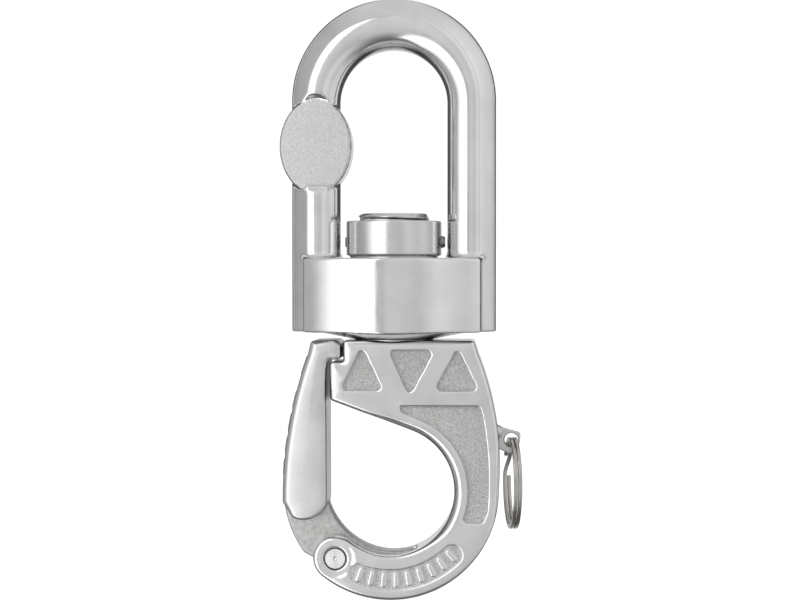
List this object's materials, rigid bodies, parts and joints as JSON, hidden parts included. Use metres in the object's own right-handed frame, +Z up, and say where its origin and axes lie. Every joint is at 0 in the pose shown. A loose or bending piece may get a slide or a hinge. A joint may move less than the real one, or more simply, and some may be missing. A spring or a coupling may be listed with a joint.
{
  "type": "snap shackle",
  "caption": "Large-bail snap shackle: U-shaped bail with a marking pad, ball-bearing swivel base, hook body with a hinged gate, and a sprung lock pin on a pull tab with a split ring.",
  "frame": {"origin": "the bearing point inside the bail's crown, on the swivel axis", "axes": "+Z up along the swivel axis from the hook to the bail, +X towards the lock's pull tab, -Y the front face"},
  "size_m": [0.0601, 0.036, 0.1493],
  "materials": {
    "polished_steel": "polished stainless with fine polishing lines",
    "turned_steel": "lathe-turned stainless",
    "satin_steel": "satin stainless",
    "bearing_steel": "ground bearing steel",
    "spring_steel": "drawn spring wire",
    "ring_steel": "drawn wire, slightly dull",
    "brass_cage": "machined brass",
    "black_polymer": "black bearing polymer"
  },
  "bodies": {
    "bail": {"bail_forging": "polished_steel", "swivel_bush": "black_polymer", "bearing_lower_race": "bearing_steel"},
    "ball_set": {"bearing_cage": "brass_cage", "bearing_ball_01": "bearing_steel", "bearing_ball_02": "bearing_steel", "bearing_ball_03": "bearing_steel", "bearing_ball_04": "bearing_steel", "bearing_ball_05": "bearing_steel", "bearing_ball_06": "bearing_steel", "bearing_ball_07": "bearing_steel", "bearing_ball_08": "bearing_steel", "bearing_ball_09": "bearing_steel", "bearing_ball_10": "bearing_steel", "bearing_ball_11": "bearing_steel", "bearing_ball_12": "bearing_steel", "bearing_ball_13": "bearing_steel", "bearing_ball_14": "bearing_steel"},
    "hook": {"hook_body": "polished_steel", "ring_nut": "turned_steel", "nut_roll_pin": "turned_steel", "bearing_upper_race": "bearing_steel", "gate_pivot_pin": "turned_steel", "lock_gland": "turned_steel", "lock_spring": "spring_steel"},
    "gate": {"gate_arm": "satin_steel"},
    "lock": {"lock_pin": "satin_steel"},
    "ring": {"split_ring": "ring_steel"}
  },
  "joints": [
    {"name": "swivel", "type": "hinge", "parent": "bail", "child": "hook", "pos_m": [0, 0, 0], "axis": [0, 0, 1], "continuous": true},
    {"name": "ball_roll", "type": "hinge", "parent": "bail", "child": "ball_set", "pos_m": [0, 0, 0], "axis": [0, 0, 1], "continuous": true},
    {"name": "gate_hinge", "type": "hinge", "parent": "hook", "child": "gate", "pos_m": [-0.0142, 0, -0.126], "axis": [0, -1, 0], "range_deg": [0, 95]},
    {"name": "lock_pull", "type": "slide", "parent": "hook", "child": "lock", "axis": [0.887, 0, -0.4617], "range_m": [-0.0013, 0.0027], "stiffness_N_per_m": 600, "springref_m": -0.0013, "deforming": ["lock_spring"]},
    {"name": "ring_swing", "type": "hinge", "parent": "lock", "child": "ring", "pos_m": [0.0293, 0, -0.097], "axis": [0, -1, 0], "range_deg": [0, 100]}
  ],
  "couplings": [
    {"joint": "ball_roll", "follows": "swivel", "ratio": 0.5}
  ]
}
